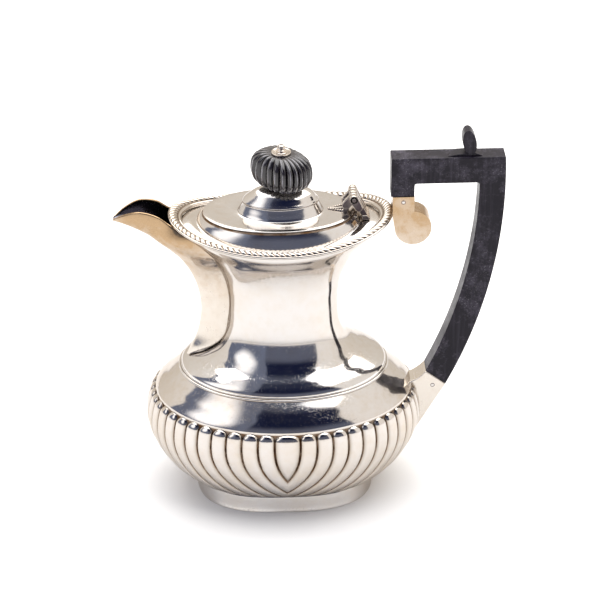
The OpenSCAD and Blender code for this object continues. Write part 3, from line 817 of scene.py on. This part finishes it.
def make_hinge():
    x, z = hinge[0], hinge[2]
    axle, r = (x, z), 2.25
    parts = [knuckle("knuckle", *k) for k in pot_knuckles]
    lug = oblong(axle, r, (36.9, z - 4.4), 1.9)
    parts += [across("lug", lug, length, 0.45, y=y) for y, length in pot_knuckles]
    foot = oblong((37.6, z - 5), 1.7, (39.8, 151.2), 1.3)
    parts += [across("foot", foot, 1.6, 0.4, y=0.8 * y) for y, _ in pot_knuckles]
    base = [[38.4, 148.6], [42.5, 148.8], [42.5, 149.6], [41, 151.1], [38.4, 151.1]]
    parts.append(across("base", base, 2 * hinge_half - 2.6, 0.7))
    piece(join("hinge_pot_side", parts), "hinge_silver", "pot", "hinge_knuckles_pot")
    parts = [knuckle("knuckle", *k) for k in lid_knuckles]
    lug = oblong(axle, r, (30.9, 155.9), 2.1)
    parts += [across("lug", lug, length, 0.45, y=y) for y, length in lid_knuckles]
    foot = oblong((30.9, 155.5), 1.9, (30.6, lid_flat + 0.8), 1.3)
    parts += [across("foot", foot, length, 0.4, y=0.9 * y) for y, length in lid_knuckles]
    parts.append(leaf())
    piece(join("hinge_lid_side", parts), "hinge_silver", "lid", "hinge_knuckles_lid")
    h = hinge_half
    pin = [[0, -h], [0.94, -h], [1, -h + 0.06], [1, h - 0.06], [0.94, h], [0, h]]
    piece(lathe("hinge_pin", pin, [x, 0, z], axis="Y", n=32), "hinge_silver", "pot", "hinge_pin")


# ---------------------------------------------------------------- handle and sockets

arc_centre = np.array([-149, 166.5])
grip_outer_r, grip_inner_r = 257.2, 244.5
leg_left, leg_right = 52.5, 63.9
bar_z, leg_z = 167.4, 160.6
handle_top = 181
grip_end = np.array([71.8, 61.4])
grip_turn = math.radians(-37.5)


def on_arc(r, z):
    """The angle on the grip's arc of radius r at the height z, in degrees."""
    return math.degrees(math.asin((z - arc_centre[1]) / r))


def grip_arc(r, start_z, end_z, n):
    """The grip's edge of radius r, from one height to another."""
    return arc(arc_centre, r, on_arc(r, start_z), on_arc(r, end_z), n)


def make_handle():
    top = handle_top
    outer_end = grip_end + 13 * np.array([math.cos(grip_turn), math.sin(grip_turn)])
    fillet = 1.2
    inner_x = arc_centre[0] + math.sqrt(grip_inner_r ** 2 - (bar_z - fillet - arc_centre[1]) ** 2)
    outline = np.vstack([
        [leg_left, top], [leg_left, leg_z], [leg_right, leg_z],
        arc([leg_right + fillet, bar_z - fillet], fillet, 180, 90, 5),
        arc([inner_x - fillet, bar_z - fillet], fillet, 90, 0, 5),
        grip_arc(grip_inner_r, bar_z - 3, grip_end[1], 40),
        grip_arc(grip_outer_r, outer_end[1], top, 48)])
    bar = across("bar", outline, handle_t, 0.45, sharp=25)
    thumb = across("thumb", thumb_outline(top), 7, 0.8, sharp=25)
    left, right = 58.2 - 3.3, 58.2 + 3.3
    low, high = leg_z - 8, leg_z + 1
    tenon = across("tenon", [[left, low], [right, low], [right, high], [left, high]], 6.8, 0.2)
    piece(join("wood_handle", [bar, thumb, tenon]), "ebony", "pot", "handle")


def thumb_outline(top):
    """A leaning oval tongue on a low ramp."""
    centre, long, short, lean = np.array([90.2, top + 6.9]), 6.6, 3.3, math.radians(10)
    a = np.radians(np.linspace(-60, 235, 36))
    x, z = short * np.cos(a), long * np.sin(a)
    cos, sin = math.cos(lean), math.sin(lean)
    oval = centre + np.stack([x * cos - z * sin, x * sin + z * cos], -1)
    ramp = [[84.6, top + 1], [80, top + 0.2], [78, top - 1], [99, top - 1], [96, top + 0.4]]
    return np.vstack([oval, ramp])


def make_upper_socket():
    """A strap that ends in a round volute."""
    left, right = leg_left + 0.9, leg_right + 0.1
    volute = arc(np.array([63.6, 143.6]), 9, 182, 448, 70)
    outline = np.vstack([volute, [[right, 152.6], [right, leg_z], [left, leg_z], [left, 150]]])
    socket = across("upper_socket", outline, socket_t, 0.6, sharp=30)
    piece(socket, "tarnished_silver", "pot", "upper_socket")


def make_lower_socket():
    outline = np.vstack([
        [67.4, 27.4], [70.2, 32.4], [76.4, 43.6], [82.1, 53.5], grip_end, [69.6, 59], [67, 57],
        [64.4, 55.6], [62, 54.6], [66, 48], [67, 40], [66, 30]])
    socket = across("lower_socket", outline, socket_t, 0.6, sharp=30)
    piece(socket, "tarnished_silver", "pot", "lower_socket")


def make_rivets():
    """Domed heads, each in a dark ring of painted shade where the hole's edge shows."""
    for name, pin in (("upper_socket_pin", upper_pin), ("lower_socket_pin", lower_pin)):
        h = socket_t / 2 + 0.15
        near = [[0, -h], [0.4, -h + 0.02], [0.7, -h + 0.12], [0.8, -h + 0.3]]
        far = [[r, -y] for r, y in near[::-1]]
        head = lathe(name + "_head", near + far, pin, axis="Y", n=32)
        piece(head, "hinge_silver", "pot", name, look="silver")
        h -= 0.1
        # Painted shade: the ring's faces square to Y take the hinge silver's painted dark.
        ring = [[0.82, -h], [1.1, -h], [1.1, h], [0.82, h]]
        piece(lathe(name + "_ring", ring, pin, axis="Y", n=32), "hinge_silver", "pot")


# ---------------------------------------------------------------- floor, light and camera

def make_floor():
    n = Nodes("pale_floor")
    n.set(Base_Color=rgb(0.95, 0.945, 0.94), Roughness=0.6)
    n.set(Specular_IOR_Level=0.2)
    verts = [[x, y, 0] for x, y in ((-4000, -4000), (4000, -4000), (4000, 4000), (-4000, 4000))]
    floor = new_object("floor", verts, [[0, 1, 2, 3]])
    floor.data.materials.append(n.material)


def make_world():
    """A white tent with a dark opening on the front side, paler in its left part, where a soft box glows."""
    world = bpy.data.worlds.new("tent")
    world.use_nodes = True
    bpy.context.scene.world = world
    tree = world.node_tree
    tree.nodes.clear()

    def add(kind, links=None, **settings):
        node = tree.nodes.new(kind)
        for key, value in settings.items():
            setattr(node, key, value)
        for key, value in (links or {}).items():
            if isinstance(value, bpy.types.NodeSocket):
                tree.links.new(value, node.inputs[key])
            else:
                node.inputs[key].default_value = value
        return node

    def calc(operation, a, b=0.0):
        return add("ShaderNodeMath", {0: a, 1: b}, operation=operation).outputs[0]

    def step(value, low, high):
        return add("ShaderNodeMapRange", {"Value": value, "From Min": low, "From Max": high},
                   interpolation_type="SMOOTHSTEP").outputs[0]

    way = add("ShaderNodeSeparateXYZ", {0: add("ShaderNodeTexCoord").outputs["Generated"]})
    x, y, z = way.outputs
    side = calc("ARCTAN2", x, calc("MULTIPLY", y, -1.0))
    height = calc("ARCSINE", z)

    def window(left, right, low, high, soft):
        sides = calc("MULTIPLY", step(side, left, left + soft), step(side, right, right - soft))
        ends = calc("MULTIPLY", step(height, low, low + soft), step(height, high, high - soft))
        return calc("MULTIPLY", sides, ends)

    def mix(factor, a, b):
        node = add("ShaderNodeMix", {"Factor": factor}, data_type="RGBA")
        for socket, value in ((node.inputs[6], a), (node.inputs[7], b)):
            if isinstance(value, bpy.types.NodeSocket):
                tree.links.new(value, socket)
            else:
                socket.default_value = value
        return node.outputs[2]

    tent = mix(step(y, -0.2, 0.9), rgb(1.17, 1.12, 1.07), rgb(0.97, 0.90, 0.81))
    tent = mix(step(z, 0.6, 0.95), tent, rgb(1.06, 1.03, 0.99))
    dark = mix(step(height, 0.95, 1.4), rgb(0.010, 0.015, 0.050), rgb(0.26, 0.30, 0.40))
    dark = mix(step(height, 0.35, 0.8), rgb(0.15, 0.165, 0.23), dark)
    shade = mix(step(side, -0.48, -0.42), rgb(0.20, 0.23, 0.33), dark)
    across_glow = calc("POWER", calc("MULTIPLY", calc("ADD", side, 1.08), 2.1), 2.0)
    up_glow = calc("POWER", calc("MULTIPLY", calc("ADD", height, -0.66), 1.9), 2.0)
    glow = step(calc("ADD", across_glow, up_glow), 1.0, 0.1)
    shade = mix(calc("MULTIPLY", glow, step(side, -0.44, -0.5)), shade, rgb(1.9, 1.9, 1.95))
    colour = mix(window(-1.8, 0.88, 0.0, 1.38, 0.05), tent, shade)
    background = add("ShaderNodeBackground", {"Color": colour, "Strength": 1.0})
    out = add("ShaderNodeOutputWorld")
    tree.links.new(background.outputs[0], out.inputs[0])


def make_lights():
    light = bpy.data.lights.new("top_light", "AREA")
    light.shape = "RECTANGLE"
    light.size = 2.4
    light.size_y = 2.0
    light.energy = 40
    lamp = bpy.data.objects.new("top_light", light)
    lamp.location = (0.1, 0.35, 1.5)
    lamp.rotation_euler = (Vector((0, 0, 0.05)) - lamp.location).to_track_quat("-Z", "Y").to_euler()
    bpy.context.scene.collection.objects.link(lamp)


def place_camera():
    azimuth, elevation, roll = (math.radians(a) for a in (-2.03, 30.0, -0.35))
    distance = 1.2
    target = Vector((0, 0, 0.095))
    back = Vector((math.sin(azimuth) * math.cos(elevation), -math.cos(azimuth) * math.cos(elevation),
                   math.sin(elevation)))
    data = bpy.data.cameras.new("camera")
    data.sensor_width = 36
    data.lens = 144
    data.shift_x = 0.028
    data.shift_y = 0.0193
    camera = bpy.data.objects.new("camera", data)
    camera.matrix_world = Matrix.Translation(target + back * distance) @ \
        back.to_track_quat("Z", "Y").to_matrix().to_4x4() @ Matrix.Rotation(roll, 4, "Z")
    bpy.context.scene.collection.objects.link(camera)
    bpy.context.scene.camera = camera


make_foot()
make_bowl()
make_girdle()
make_neck()
make_spout()
make_rim()
make_cover_plate()
make_lid()
make_lid_flange()
make_finial()
make_finial_fittings()
make_hinge()
make_handle()
make_upper_socket()
make_lower_socket()
make_rivets()
make_floor()
make_world()
make_lights()
place_camera()
bpy.context.scene.view_settings.view_transform = "Standard"
